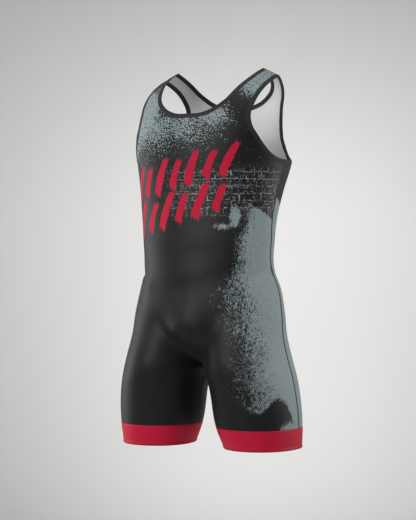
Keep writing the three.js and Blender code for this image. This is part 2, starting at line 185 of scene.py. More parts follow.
def cloth_point(side, across, up):
    """Points of the garment's outer surface in mm, as (..., 3). across is 0 at the middle and 1 at the
    side seam, up is the height on the cloth over the chest line."""
    across, up = np.broadcast_arrays(np.asarray(across, float), np.asarray(up, float))
    z = CHEST_LINE + np.minimum(up, 0)
    x, y = trunk_point(side, across, z)
    height = SEAT_HEIGHT[side]
    down = np.clip((CROTCH + height - z) / height, 0, 1)
    at_side = ease_in_out((CROTCH + HIP_BLEND_START - z) / HIP_BLEND_HEIGHT)
    under = mix(down**SEAT_ROUNDNESS, ease_in_out(down * down), ease_in_out(across / UNDERSIDE_WIDTH))
    share = mix(under, at_side, ease_in_out(across / MIDDLE_BLEND_WIDTH))
    ease = INSEAM_EASE * ease_in_out((z - CROTCH + INSEAM_EASE_REACH) / (2 * INSEAM_EASE_REACH))
    along = across * across / np.maximum(across + ease, 1e-9) * (1 + ease)
    leg_x, leg_y = leg_point(side, along, z)
    body = np.stack([mix(x, leg_x, share), mix(y, leg_y, share), z], -1)
    reach_low, reach_high, rise_low, rise_high = ARCH_SHAPE[side]
    up_share = np.clip(up, 0, None) / ARCH
    ridge = (math.hypot(STRAP_MIDDLE, RIDGE_EASE) - np.hypot(x, RIDGE_EASE)) * STRAP_SLOPE + STRAP_TOP
    arch_y = y * bezier(1, reach_low, reach_high, 0, up_share)
    arch_z = CHEST_LINE + (ridge - CHEST_LINE) * bezier(0, rise_low, rise_high, 1, up_share)
    arch = np.stack([x, arch_y, arch_z], -1)
    return np.where((up > 0)[..., None], arch, body)


def across_at(side, x, up):
    z = CHEST_LINE + np.minimum(up, 0)
    low, high = np.zeros_like(x), np.ones_like(x)
    for _ in range(45):
        middle = (low + high) / 2
        under = trunk_point(side, middle, z)[0] < x
        low, high = np.where(under, middle, low), np.where(under, high, middle)
    return (low + high) / 2


def open_edge(side, rows, shares, ends_in_middle):
    """An open edge from the shoulder down, as (across, up) places at some shares of the way."""
    table = [(i, x, up) for i, (x, up) in enumerate(rows)]
    if ends_in_middle:
        table.append((len(rows), -rows[-2][0], rows[-2][1]))
    i = shares * (len(rows) - 1)
    x, up = smooth_curve(table, 1)(i), smooth_curve(table, 2)(i)
    across = across_at(side, np.maximum(x, 0), up)
    across[-1] = 0 if ends_in_middle else 1
    return np.stack([across, up], -1)


def place_slopes(side, places):
    share_step = np.where(places[:, 0] > 0.5, -0.001, 0.001)
    up_step = -0.1
    point = cloth_point(side, places[:, 0], places[:, 1])
    along_row = (cloth_point(side, places[:, 0] + share_step, places[:, 1]) - point) / share_step[:, None]
    along_up = (cloth_point(side, places[:, 0], places[:, 1] + up_step) - point) / up_step
    return along_row, along_up


INSET_PARTS = 24


def inset_edge(side, edge, facing, width, shoulder_x):
    """The open edge moved in by some width on the cloth, towards the panel's other open edge."""
    along_row, along_up = place_slopes(side, edge)
    point = cloth_point(side, edge[:, 0], edge[:, 1])
    along = np.gradient(point, axis=0)
    away = np.cross(along, np.cross(along_row, along_up))
    away /= np.linalg.norm(away, axis=1)[:, None]
    to_facing = cloth_point(side, facing[:, 0], facing[:, 1]) - point
    away *= np.sign(np.sum(away[3] * to_facing[3])) * width / INSET_PARTS
    inset = edge.copy()
    for _ in range(INSET_PARTS):
        along_row, along_up = place_slopes(side, inset)
        rr = (along_row * along_row).sum(1)
        ru = (along_row * along_up).sum(1)
        uu = (along_up * along_up).sum(1)
        rs, us = (along_row * away).sum(1), (along_up * away).sum(1)
        size = rr * uu - ru * ru
        inset = inset + np.stack([(rs * uu - us * ru) / size, (us * rr - rs * ru) / size], -1)
        inset[-1] = edge[-1, 0], inset[-1, 1]
    inset[0] = across_at(side, np.array([shoulder_x]), np.array([ARCH]))[0], ARCH
    return inset


NECK_STEPS = 100
UNDERARM_STEPS = 40
STRAP_COLUMNS = 40
COLUMNS = STRAP_COLUMNS + UNDERARM_STEPS
BODY_ROWS = 84
SEAT_ROWS = 44
LEG_ROWS = 30
STRAP_SHARE = {"front": 0.7, "back": 0.55}
TUCK = 1.2
SEAT_ROW_CROWDING = 1.6
LEG_ROW_CROWDING = 1.7
SETTLING_HEIGHT = 230.0


def garment_edges(side):
    neck = open_edge(side, NECK_EDGE[side], np.linspace(0, 1, NECK_STEPS + 1), True)
    share = STRAP_SHARE[side]
    shares = [np.linspace(0, share, NECK_STEPS + 1), np.linspace(share, 1, UNDERARM_STEPS + 1)[1:]]
    arm = open_edge(side, ARM_EDGE[side], np.concatenate(shares), False)
    neck_x, arm_x = NECK_EDGE[side][0][0], ARM_EDGE[side][0][0]

    def neck_inset(width):
        return inset_edge(side, neck, arm[: NECK_STEPS + 1], width, neck_x + width)

    def arm_inset(width):
        facing = neck[np.minimum(np.arange(len(arm)), NECK_STEPS)]
        return inset_edge(side, arm, facing, width, arm_x - width)

    return neck_inset, arm_inset


def row_places(inner, outer, steps):
    return mix(inner, outer, np.linspace(0, 1, steps + 1)[:, None])


def panel_places(side):
    """Grids of (across, up) places on one half of a panel: the strap, then the body and leg."""
    neck_inset, arm_inset = garment_edges(side)
    neck, arm = neck_inset(BINDING_WIDTH - TUCK), arm_inset(BINDING_WIDTH - TUCK)
    strap = np.stack([row_places(neck[k], arm[k], STRAP_COLUMNS) for k in range(NECK_STEPS + 1)])
    start = np.concatenate([strap[-1], arm[NECK_STEPS + 1 :]])
    seat_top = CROTCH + SEAT_HEIGHT["back"] - CHEST_LINE
    crotch_up = CROTCH - CHEST_LINE
    first = start[-1, 1]
    body_ups = np.linspace(first, seat_top, BODY_ROWS + 1)[1:]
    seat_shares = np.linspace(0, 1, SEAT_ROWS + 1)[1:]
    leg_shares = np.linspace(0, 1, LEG_ROWS + 1)[1:]
    seat_ups = crotch_up + SEAT_HEIGHT["back"] * (1 - seat_shares) ** SEAT_ROW_CROWDING
    leg_ups = crotch_up + (BAND_TOP - CROTCH) * leg_shares ** LEG_ROW_CROWDING
    ups = np.concatenate([body_ups, seat_ups, leg_ups])
    unsettled = 1 - ease_in_out((first - ups) / SETTLING_HEIGHT)
    level = np.linspace(0, 1, COLUMNS + 1)
    across = mix(level[None, :], start[None, :, 0], unsettled[:, None])
    up = ups[:, None] + (start[None, :, 1] - first) * unsettled[:, None]
    body = np.concatenate([start[None], np.stack([across, up], -1)])
    return strap, body


# Lengths along level sections, so that print and knit are laid out on the cloth and not on a plane
LEVELS = np.linspace(HEM - CHEST_LINE, 0, 160)
SHARES = np.linspace(0, 1, 81)
girths = {}
for side in SIDES:
    points = cloth_point(side, SHARES[None, :], LEVELS[:, None])
    steps = np.linalg.norm(np.diff(points, axis=1), axis=2)
    girths[side] = np.concatenate([np.zeros((len(LEVELS), 1)), np.cumsum(steps, 1)], 1)


def girth_at(side, across, up):
    """Length on the cloth from the middle, and the whole length to the side seam, at each place."""
    table = girths[side]
    i = np.clip((np.minimum(up, 0) - LEVELS[0]) / (LEVELS[1] - LEVELS[0]), 0, len(LEVELS) - 1.001)
    j = np.clip(across * (len(SHARES) - 1), 0, len(SHARES) - 1.001)
    i0, j0 = i.astype(int), j.astype(int)
    a, b = i - i0, j - j0
    low = mix(table[i0, j0], table[i0, j0 + 1], b)
    high = mix(table[i0 + 1, j0], table[i0 + 1, j0 + 1], b)
    whole = mix(table[i0, -1], table[i0 + 1, -1], a)
    return mix(low, high, a), whole


# Creases on the panels: where each starts and ends (x and height in mm), its width and its depth. A
# negative depth is a ridge.
CREASE_COLUMNS = ("side", "x0", "z0", "x1", "z1", "width", "depth")
CREASES = [
    ("front", -146, -404, -118, -434, 6.5, 2.4),
    ("front", -140, -416, -92, -448, 11, -1.2),
    ("front", 146, -398, 112, -424, 9, 1.6),
    ("front", -118, -330, -20, -348, 20, 1.1),
    ("front", -104, -446, 6, -462, 24, 1.5),
    ("front", 24, -432, 122, -414, 19, 1.3),
    ("front", -20, -372, 84, -384, 20, 1.0),
    ("front", -30, -592, -128, -536, 20, 1.2),
    ("front", 30, -592, 126, -540, 20, 1.2),
    ("back", -120, -384, 10, -404, 16, 1.8),
    ("back", 12, -396, 128, -378, 14, 1.6),
    ("back", -96, -424, 40, -434, 18, 1.2),
    ("back", 30, -428, 132, -414, 15, 1.3),
    ("back", -28, -590, -122, -618, 18, 1.6),
    ("back", 28, -590, 118, -622, 18, 1.6),
    ("back", -140, -214, -90, -250, 16, 1.4),
    ("back", 140, -212, 94, -252, 16, 1.3),
]
CREASE_BOW = 0.09
CREASE_FADE = 0.35
CREASE_END = 0.15


def crease_depth(side, x, z):
    """How far the cloth is pushed in at each point by the creases of that side."""
    total = np.zeros_like(x)
    for row in CREASES:
        crease = dict(zip(CREASE_COLUMNS, row))
        if crease["side"] != side:
            continue
        start = np.array([crease["x0"], crease["z0"]], float)
        run = np.array([crease["x1"], crease["z1"]], float) - start
        length = np.linalg.norm(run)
        run /= length
        dx, dz = x - start[0], z - start[1]
        along = (dx * run[0] + dz * run[1]) / length
        bow = CREASE_BOW * length * np.sin(np.clip(along, 0, 1) * math.pi)
        off = dz * run[0] - dx * run[1] - bow
        fade_in = ease_in_out(along / CREASE_FADE + CREASE_END)
        fade_out = ease_in_out((1 - along) / CREASE_FADE + CREASE_END)
        total += crease["depth"] * (fade_in * fade_out) * np.exp(-((off / crease["width"]) ** 2))
    return total


SOFT_MIDDLE = (-50.0, -150.0, -600.0)
SOFT_REACH = 85.0
SOFT_ROUNDS = 70
SOFT_SHARE = 0.5
SOFT_FULLNESS = 1.3


def softened(points, quads):
    """The points with the fork between the legs rounded, and the panel's own edges held where they are."""
    edges = np.concatenate([quads[:, [0, 1]], quads[:, [1, 2]], quads[:, [2, 3]], quads[:, [3, 0]]])
    edges = np.sort(edges[edges[:, 0] != edges[:, 1]], axis=1)
    edges, uses = np.unique(edges, axis=0, return_counts=True)
    back_y, front_y, height = SOFT_MIDDLE
    beyond = points[:, 1] - np.clip(points[:, 1], front_y, back_y)
    away = np.sqrt(points[:, 0] ** 2 + beyond ** 2 + (points[:, 2] - height) ** 2)
    share = SOFT_SHARE * ease_in_out(np.clip(SOFT_FULLNESS * (1 - away / SOFT_REACH), 0, 1))
    share[edges[uses == 1].ravel()] = 0.0
    near = edges[(share[edges] > 0).any(axis=1)]
    ties = np.zeros(len(points))
    np.add.at(ties, near.ravel(), 1.0)
    for _ in range(SOFT_ROUNDS):
        total = np.zeros_like(points)
        np.add.at(total, near[:, 0], points[near[:, 1]])
        np.add.at(total, near[:, 1], points[near[:, 0]])
        mean = total / np.maximum(ties, 1.0)[:, None]
        points = points + (mean - points) * share[:, None]
    return points


def joined(patches):
    """Merges the shared edge points of several grids: the points, where each was found, and the quads."""
    flat = np.concatenate([grid.reshape(-1, 3) for grid, _ in patches])
    _, first, number = np.unique(np.round(flat * 1000).astype(np.int64), axis=0, return_index=True,
                                 return_inverse=True)
    number = number.ravel()
    quads, at = [], 0
    for grid, faces_out in patches:
        rows, columns = grid.shape[:2]
        ids = number[at : at + rows * columns].reshape(rows, columns)
        at += rows * columns
        a, b, c, d = ids[:-1, :-1], ids[1:, :-1], ids[1:, 1:], ids[:-1, 1:]
        order = (a, b, c, d) if faces_out else (a, d, c, b)
        quads.append(np.stack([corner.ravel() for corner in order], 1))
    return flat[first], first, np.concatenate(quads)


def point_normals(points, quads):
    face = np.cross(points[quads[:, 2]] - points[quads[:, 0]], points[quads[:, 3]] - points[quads[:, 1]])
    total = np.zeros_like(points)
    for corner in range(4):
        np.add.at(total, quads[:, corner], face)
    return total / np.maximum(np.linalg.norm(total, axis=1), 1e-12)[:, None]


def rim_quads(quads, count):
    """Quads that close the edge between an outer wall and its inner copy, numbered count higher."""
    start = quads.ravel()
    end = np.roll(quads, -1, axis=1).ravel()
    keep = start != end
    start, end = start[keep], end[keep]
    seen = set(zip(start.tolist(), end.tolist()))
    open_edges = [(a, b) for a, b in seen if (b, a) not in seen]
    return [(b, a, a + count, b + count) for a, b in sorted(open_edges)]


def quad_areas(points, quads):
    """The area of each quad in square metres, for points in mm."""
    corners = points[quads] * MM
    one_way, other_way = corners[:, 2] - corners[:, 0], corners[:, 3] - corners[:, 1]
    return 0.5 * np.linalg.norm(np.cross(one_way, other_way), axis=1)


def tidy_face(corners):
    return list(dict.fromkeys(corners))


def add_piece(name, points_mm, faces, materials, face_materials=None, attributes=None, sharp_angle=50.0):
    """A mesh object in metres with smooth shading, its materials and its point attributes."""
    mesh = bpy.data.meshes.new(name)
    mesh.from_pydata((points_mm * MM).tolist(), [], faces)
    for material in materials:
        mesh.materials.append(material)
    if face_materials is not None:
        mesh.polygons.foreach_set("material_index", np.asarray(face_materials, np.int32))
    mesh.polygons.foreach_set("use_smooth", np.ones(len(mesh.polygons), bool))
    for label, values in (attributes or {}).items():
        attribute = mesh.attributes.new(label, "FLOAT_VECTOR", "POINT")
        attribute.data.foreach_set("vector", np.asarray(values, np.float32).ravel())
    mesh.update()
    mesh.set_sharp_from_angle(angle=math.radians(sharp_angle))
    piece = bpy.data.objects.new(name, mesh)
    bpy.context.collection.objects.link(piece)
    return piece


class Socket:
    """One output of a material's nodes, so that sums on it are written as plain Python."""

    def __init__(self, tree, output):
        self.tree = tree
        self.output = output

    def calc(self, operation, *others, swap=False):
        node = self.tree.nodes.new("ShaderNodeMath")
        node.operation = operation
        terms = [*others, self] if swap else [self, *others]
        for term, slot in zip(terms, node.inputs):
            if isinstance(term, Socket):
                self.tree.links.new(term.output, slot)
            else:
                slot.default_value = term
        return Socket(self.tree, node.outputs[0])

    def __add__(self, other):
        return self.calc("ADD", other)

    def __sub__(self, other):
        return self.calc("SUBTRACT", other)

    def __mul__(self, other):
        return self.calc("MULTIPLY", other)

    def __truediv__(self, other):
        return self.calc("DIVIDE", other)

    def __rsub__(self, other):
        return self.calc("SUBTRACT", other, swap=True)

    __radd__ = __add__
    __rmul__ = __mul__

    def between(self, low, high):
        """0 at low and 1 at high, held there beyond them."""
        return ((self - low) * (1 / (high - low))).calc("MAXIMUM", 0.0).calc("MINIMUM", 1.0)


class Finish:
    """A new material with one Principled shader, and one method that adds any other node."""

    def __init__(self, name, **constants):
        self.material = bpy.data.materials.new(name)
        self.material.use_nodes = True
        self.tree = self.material.node_tree
        self.shader = self.tree.nodes["Principled BSDF"]
        for label, value in constants.items():
            self.shader.inputs[label.replace("_", " ")].default_value = value

    def add(self, kind, settings=None, sockets=None, output=0):
        node = self.tree.nodes.new(kind)
        for label, value in (settings or {}).items():
            setattr(node, label, value)
        for label, value in (sockets or {}).items():
            slot = node.inputs[label]
            if isinstance(value, Socket):
                self.tree.links.new(value.output, slot)
            else:
                slot.default_value = value
        return Socket(self.tree, node.outputs[output])

    def attribute(self, name):
        return self.add("ShaderNodeAttribute", {"attribute_name": name}, output="Vector")

    def parts(self, vector):
        return [self.add("ShaderNodeSeparateXYZ", None, {"Vector": vector}, output=i) for i in range(3)]

    def stretched(self, vector, scale):
        return self.add("ShaderNodeVectorMath", {"operation": "MULTIPLY"}, {0: vector, 1: scale})

    def noise(self, vector, scale, detail=2.0, roughness=0.5):
        sockets = {"Vector": vector, "Scale": scale, "Detail": detail, "Roughness": roughness}
        return self.add("ShaderNodeTexNoise", None, sockets)

    def blend(self, share, first, second):
        """A colour between two others: a Mix node's colours are its inputs 6 and 7 and its output 2."""
        return self.add("ShaderNodeMix", {"data_type": "RGBA"}, {0: share, 6: first, 7: second}, output=2)

    def wire(self, **sockets):
        for label, value in sockets.items():
            self.tree.links.new(value.output, self.shader.inputs[label.replace("_", " ")])

    def bump(self, height, strength, distance):
        sockets = {"Height": height, "Strength": strength, "Distance": distance}
        self.wire(Normal=self.add("ShaderNodeBump", None, sockets))


KNIT_WALE = 0.0011
KNIT_COURSE = 0.0008
TURN = 2 * math.pi


def knit_height(finish, along_girth, along_height):
    """The fine ribs of the knit: wales that run down the cloth, broken up by its courses."""
    wales = (along_girth * (TURN / KNIT_WALE)).calc("SINE")
    courses = (along_height * (TURN / KNIT_COURSE)).calc("SINE")
    return wales * 0.35 + wales * courses * 0.3


# Where slate grey is printed: side, middle (mm along the cloth from the middle line, and height), reach
# each way, cover at the middle (1 and over is solid) and the share of the reach that its border takes
GREY_BLOBS = [
    ("front", -122, -66, 64, 104, 1.5, 0.42),
    ("front", -172, -134, 66, 62, 1.4, 0.6),
    ("front", -80, -116, 88, 66, 0.8, 0.8),
    ("front", -6, -114, 92, 54, 0.72, 0.8),
    ("front", 52, -84, 52, 52, 1.1, 0.7),
    ("front", 118, 58, 46, 88, 1.4, 0.4),
    ("front", 98, -298, 19, 34, 1.0, 0.6),
    ("front", 74, -318, 40, 13, 0.8, 0.8),
    ("back", -124, -60, 70, 100, 1.4, 0.5),
    ("back", -20, -128, 94, 50, 0.66, 0.9),
    ("back", 108, -50, 50, 82, 1.2, 0.6),
    ("back", 74, -150, 58, 50, 0.6, 0.9),
]
FLANK_TOP = {"front": -274.0, "back": -282.0}
FLANK_TOP_SLOPE = {"front": -0.5, "back": 0.42}
FLANK_LEVELS = (-700, -460, -390, -300)
FLANK_SOLID = (24, 24, 42, 48)
FLANK_FADE = (172, 180, 66, 52)
BAND_BLOT = -676.0
BARE_CLOTH = -1.4
BORDER_DROP = 0.9
FLANK_COVER = 1.5
FLANK_DROP = 2.4


def grey_amount(side, hand, x, up, from_seam):
    """The share of the cloth that the slate print covers: 1 and over is solid, 0 and under is bare."""
    z = CHEST_LINE + up
    total = np.full_like(x, BARE_CLOTH)
    for blob_side, middle_x, middle_z, reach_x, reach_z, cover, border in GREY_BLOBS:
        if blob_side == side:
            away = np.sqrt(((x - middle_x) / reach_x) ** 2 + ((z - middle_z) / reach_z) ** 2)
            faded = np.maximum((away - 1 + border) / border, 0)
            total = np.maximum(total, cover - (cover + BORDER_DROP) * faded)
    if hand > 0:
        edge = np.interp(z, FLANK_LEVELS, FLANK_SOLID) + 7 * np.sin(z / 37.0) + 4 * np.sin(z / 14.0 + 1.0)
        fade = np.interp(z, FLANK_LEVELS, FLANK_FADE)
        flank = FLANK_COVER - np.clip((from_seam - edge) / fade, 0.0, 1.0) * FLANK_DROP
        top = FLANK_TOP[side] + FLANK_TOP_SLOPE[side] * (60 - from_seam)
        flank = np.where(z < top, flank, -2.0)
        blot = (z - BAND_BLOT) / 9.0 + 1.6 * np.sin(from_seam / 15.0 + 0.6)
        blot = blot + np.clip((38 - from_seam) / 6, 0, 9)
        above_band = 1.2 - np.clip((z - BAND_TOP - 4) / 12, 0, 3) - np.clip((from_seam - 46) / 20, 0, 3)
        blot = np.maximum(blot, above_band)
        total = np.maximum(total, np.minimum(flank, np.clip(blot, -1.5, 3.0)))
    return total


CRACKLE_MIDDLE = (84.0, -248.0)
CRACKLE_REACH = (140.0, 52.0)
CRACKLE_FULL = 0.72
CRACKLE_FADE = 0.34


def crackle_amount(side, x, up):
    """How strongly the broken pale lines are printed, from 0 to 1."""
    z = CHEST_LINE + up
    middle_x, middle_z = CRACKLE_MIDDLE
    reach_x, reach_z = CRACKLE_REACH
    if side == "back":
        middle_x = -middle_x
    box = np.maximum(np.abs((x - middle_x) / reach_x), np.abs((z - middle_z) / reach_z))
    return 1.0 - np.clip((box - CRACKLE_FULL) / CRACKLE_FADE, 0, 1)


# Crimson brush strokes across the chest, in two rising rows of slanted dashes. Each has its lower end
# (mm along the cloth from the middle line, and height), length, width and slant in degrees from upright.
STROKES = [
    (-188, -268, 56, 18, 18), (-150, -262, 70, 19, 21), (-112, -254, 58, 17, 18), (-78, -252, 76, 20, 21),
    (-38, -240, 60, 17, 20), (-2, -234, 72, 20, 19), (38, -220, 58, 17, 23), (72, -216, 74, 18, 28),
    (-182, -342, 62, 18, 20), (-143, -336, 76, 20, 18), (-101, -326, 60, 17, 21), (-65, -322, 78, 20, 20),
    (-23, -308, 60, 18, 18), (14, -300, 74, 20, 22), (58, -286, 56, 17, 20),
]
NO_STROKE = 40.0
DRY_END = 0.3
STROKE_BOW = 2.5
STROKE_TAPER = 0.3
STROKE_WAVER = 0.07


def stroke_distance(side, x, up):
    """Distance in mm to the nearest brush stroke's edge, below 0 inside it."""
    if side == "back":
        return np.full_like(x, NO_STROKE)
    z = CHEST_LINE + up
    nearest = np.full_like(x, NO_STROKE)
    for x0, z0, length, width, slant in STROKES:
        run_x, run_z = math.sin(math.radians(slant)), math.cos(math.radians(slant))
        along = ((x - x0) * run_x + (z - z0) * run_z) / length
        on_stroke = np.clip(along, 0, 1)
        off = (z - z0) * run_x - (x - x0) * run_z - STROKE_BOW * np.sin(on_stroke * math.pi)
        half = width / 2 * (1 - STROKE_TAPER * on_stroke) * (1 + STROKE_WAVER * np.sin(along * 9 + x0))
        beyond = ((np.abs(along - 0.5) - 0.5) * length + 0.25 * off) * DRY_END
        nearest = np.minimum(nearest, np.maximum(np.abs(off) - half, beyond))
    return nearest


DEEP_BLACK = (0.0045, 0.0045, 0.005, 1)
WORN_BLACK = (0.0105, 0.01, 0.0105, 1)
DARK_SLATE = (0.2, 0.248, 0.256, 1)
PALE_SLATE = (0.27, 0.325, 0.335, 1)
SLATE_SPOT = (0.03, 0.036, 0.038, 1)
CRACKLE_PALE = (0.36, 0.37, 0.37, 1)
DARK_CRIMSON = (0.4, 0.002, 0.024, 1)
BRIGHT_CRIMSON = (0.56, 0.004, 0.042, 1)
SEAM_SHADOW = (0.004, 0.004, 0.004, 1)
CHEST_TEXTURE = (-0.24, -0.2)
SEAM_SHADOW_WIDTH = (0.0021, 0.0027)


def panel_material():
    finish = Finish("printed_knit", Specular_IOR_Level=0.22, Sheen_Weight=0.03, Sheen_Roughness=0.4)
    cut = finish.attribute("cut")
    girth, height, from_seam = finish.parts(cut)
    grey, crackle, stroke = finish.parts(finish.attribute("print"))
    grain = finish.noise(cut, 520.0, 1.0, 0.6)
    speckle = finish.noise(finish.stretched(cut, (1.0, 0.6, 1.0)), 300.0, 3.0, 0.75)
    scratches = finish.noise(finish.stretched(cut, (0.1, 1.0, 1.0)), 330.0, 1.0, 0.6)
    streaks = finish.noise(finish.stretched(cut, (1.0, 0.3, 1.0)), 330.0, 2.0, 0.7)
    patches = finish.noise(cut, 75.0, 3.0, 0.65)
    drift = finish.noise(cut, 16.0, 3.0, 0.6)
    on_chest = height.between(*CHEST_TEXTURE)
    lines_way = (streaks - 0.5) * (1 - on_chest) * 1.6 + (scratches - 0.5) * on_chest * 7.5
    cover = (grain - 0.5) * (2.8 - on_chest * 1.8) + (speckle - 0.5) * (2.2 - on_chest)
    cover = cover + lines_way + (patches - 0.5) * 1.2
    grey_mask = (grey + cover + (drift - 0.5) * 0.4).between(0.42, 0.58)
    spots = 1 - (speckle * 0.6 + patches * 0.4).between(0.33, 0.37)
    swirl = finish.add("ShaderNodeTexNoise", None, {"Vector": cut, "Scale": 70.0, "Detail": 3.0},
                       output="Color")
    wander = finish.stretched(swirl, (0.011, 0.011, 0.0))
    bent = finish.add("ShaderNodeVectorMath", {"operation": "ADD"}, {0: cut, 1: wander})
    stones = finish.add("ShaderNodeTexBrick", {"offset": 0.5, "squash": 1.0},
                        {"Vector": bent, "Scale": 1.0, "Mortar Size": 0.0007, "Mortar Smooth": 0.2,
                         "Brick Width": 0.032, "Row Height": 0.0145}, output="Fac")
    small_stones = finish.add("ShaderNodeTexBrick", {"offset": 0.37, "squash": 1.0},
                              {"Vector": bent, "Scale": 1.0, "Mortar Size": 0.0004, "Mortar Smooth": 0.3,
                               "Brick Width": 0.0105, "Row Height": 0.0062}, output="Fac")
    broken = finish.noise(cut, 95.0, 4.0, 0.8)
    rubbed = finish.noise(finish.stretched(cut, (1.0, 0.5, 1.0)), 150.0, 4.0, 0.8)
    lines = stones * broken.between(0.47, 0.54)
    lines = lines.calc("MAXIMUM", small_stones * rubbed.between(0.5, 0.56) * 0.8)
    dust = (speckle * 0.5 + rubbed * 0.5).between(0.55, 0.63) * 0.5
    crackle_mask = lines.calc("MAXIMUM", dust) * crackle
    bristles = finish.noise(finish.stretched(cut, (1.0, 0.12, 1.0)), 700.0, 2.0, 0.6)
    brushed = stroke + (speckle - 0.5) * 0.0022 + (bristles - 0.5) * 0.006
    stroke_mask = 1 - brushed.between(-0.0003, 0.0003)
    black = finish.blend(drift, DEEP_BLACK, WORN_BLACK)
    slate = finish.blend(speckle.between(0.3, 0.7), DARK_SLATE, PALE_SLATE)
    slate = finish.blend(spots * 0.55, slate, SLATE_SPOT)
    pale = finish.blend(crackle_mask * 0.9, black, CRACKLE_PALE)
    printed = finish.blend(grey_mask, pale, slate)
    crimson = finish.blend(bristles.between(0.3, 0.7), DARK_CRIMSON, BRIGHT_CRIMSON)
    seam_line_mask = 1 - from_seam.between(*SEAM_SHADOW_WIDTH)
    coloured = finish.blend(stroke_mask, printed, crimson)
    finish.wire(Base_Color=finish.blend(seam_line_mask, coloured, SEAM_SHADOW),
                Roughness=0.5 + grey_mask * 0.08 + stroke_mask * 0.2)
    finish.bump(knit_height(finish, girth, height) + grain * 0.25, 0.35, 0.00012)
    return finish.material


def inside_material():
    finish = Finish("inside_of_knit", Roughness=0.85, Sheen_Weight=0.05)
    cut = finish.attribute("cut")
    girth, height, _ = finish.parts(cut)
    mottle = finish.noise(cut, 420.0, 2.0, 0.6)
    finish.wire(Base_Color=finish.blend(mottle, (0.56, 0.57, 0.57, 1), (0.74, 0.74, 0.73, 1)))
    finish.bump(knit_height(finish, girth, height) + mottle * 0.3, 0.35, 0.00015)
    return finish.material


printed_knit = panel_material()
inside_of_knit = inside_material()
SEAM_EASE = 0.15

for side in SIDES:
    patches, fields = [], []
    for hand in HANDS.values():
        for places in panel_places(side):
            across, up = places[..., 0], places[..., 1]
            points = cloth_point(side, across, up)
            girth, whole = girth_at(side, across, up)
            points[..., 0] *= hand
            x = girth * hand
            cut = np.stack([x, CHEST_LINE + up, whole - girth], -1)
            printed = np.stack([grey_amount(side, hand, x, up, whole - girth), crackle_amount(side, x, up),
                                stroke_distance(side, x, up) * MM], -1)
            patches.append((points, (side == "front") == (hand > 0)))
            fields.append(np.concatenate([cut * MM, printed], -1).reshape(-1, 6))
    points, first, quads = joined(patches)
    points = softened(points, quads)
    normals = point_normals(points, quads)
    points = points - normals * crease_depth(side, points[:, 0], points[:, 2])[:, None]
    points[:, 1] += SEAM_EASE if side == "back" else -SEAM_EASE
    field = np.concatenate(fields)[first]
    count = len(points)
    outer = [tidy_face(quad) for quad in quads.tolist()]
    inner = [[corner + count for corner in reversed(face)] for face in outer]
    rim = rim_quads(quads, count)
    faces = outer + inner + rim
    inside = [0] * len(outer) + [1] * len(inner) + [0] * len(rim)
    shell = np.concatenate([points, points - normals * CLOTH])
    both = np.concatenate([field, field])
    panel = add_piece(f"{side}_panel_cloth", shell, faces, [printed_knit, inside_of_knit], inside,
                      {"cut": both[:, :3], "print": both[:, 3:]})
    panel_area = float(quad_areas(points, quads).sum())
    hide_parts(f"{side}_panel")
    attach(panel, "root")


# The neck and armhole bindings are folded strips of black stretch tape, about 10 mm wide, that close the
# raw edges of the knit. Each is one loop, sewn down by twin-needle stitching near its inner edge.
BINDING_HALF_THICK = 1.3
BINDING_CENTRE = -0.75
BINDING_JOIN_GAP = 0.35
BINDING_SECTION = 16
BINDING_SQUARENESS = 0.55
BINDING_RIPPLES = ((0.16, 5.3, 0.0), (0.12, 2.9, 1.0))
LEAST_INSET = 0.02
STITCH_LENGTH = 2.6
STITCH_PITCH = 3.4
STITCH_RADIUS = 0.28
STITCH_ROWS = (1.6, 4.0)
STITCH_SINK = 0.02


def binding_material():
    finish = Finish("binding_tape", Roughness=0.62, Specular_IOR_Level=0.2, Sheen_Weight=0.04,
                    Sheen_Roughness=0.4)
    girth = finish.parts(finish.attribute("cut"))[0]
    grain = finish.noise(finish.attribute("cut"), 700.0, 2.0, 0.6)
    finish.wire(Base_Color=finish.blend(grain, (0.012, 0.012, 0.0125, 1), (0.026, 0.026, 0.027, 1)))
    finish.bump((girth * (TURN / 0.0012)).calc("SINE") * 0.5 + grain * 0.5, 0.5, 0.00015)
    return finish.material


def thread_material():
    finish = Finish("stitching_thread", Roughness=0.5, Sheen_Weight=0.05)
    where = finish.add("ShaderNodeTexCoord", output="Object")
    twist = finish.noise(where, 2500.0, 1.0, 0.5)
    finish.wire(Base_Color=finish.blend(twist, (0.008, 0.008, 0.009, 1), (0.02, 0.02, 0.021, 1)))
    return finish.material


binding_tape = binding_material()
stitching_thread = thread_material()


def loop_of(kind, width, hand=None):
    """Points of a binding's line, width mm in from its open edge, all round, with outward directions."""
    lines = []
    for side in SIDES:
        neck_inset, arm_inset = garment_edges(side)
        places = (neck_inset if kind == "neck" else arm_inset)(max(width, LEAST_INSET))
        point = cloth_point(side, places[:, 0], places[:, 1])
        row, up = place_slopes(side, np.clip(places, [0.002, -600], [0.998, ARCH]))
        out = np.cross(row, up)
        out /= np.linalg.norm(out, axis=1)[:, None]
        out *= np.sign(out[5, 1]) * (-1 if side == "front" else 1)
        lines.append((point, out))
    (front, front_out), (back, back_out) = lines
    top = front_out[0] + back_out[0]
    front_out[0] = back_out[0] = top / np.linalg.norm(top)
    if kind == "neck":
        flip = np.array([-1, 1, 1])
        points = [front[::-1], back[1:], (back * flip)[-2::-1], (front * flip)[1:-1]]
        outs = [front_out[::-1], back_out[1:], (back_out * flip)[-2::-1], (front_out * flip)[1:-1]]
    else:
        bottom = front_out[-1] + back_out[-1]
        front_out[-1] = back_out[-1] = bottom / np.linalg.norm(bottom)
        points = [front[::-1], back[1:-1]]
        outs = [front_out[::-1], back_out[1:-1]]
    points, outs = np.concatenate(points), np.concatenate(outs)
    if kind == "arm":
        points, outs = points * [hand, 1, 1], outs * [hand, 1, 1]
    return points, outs


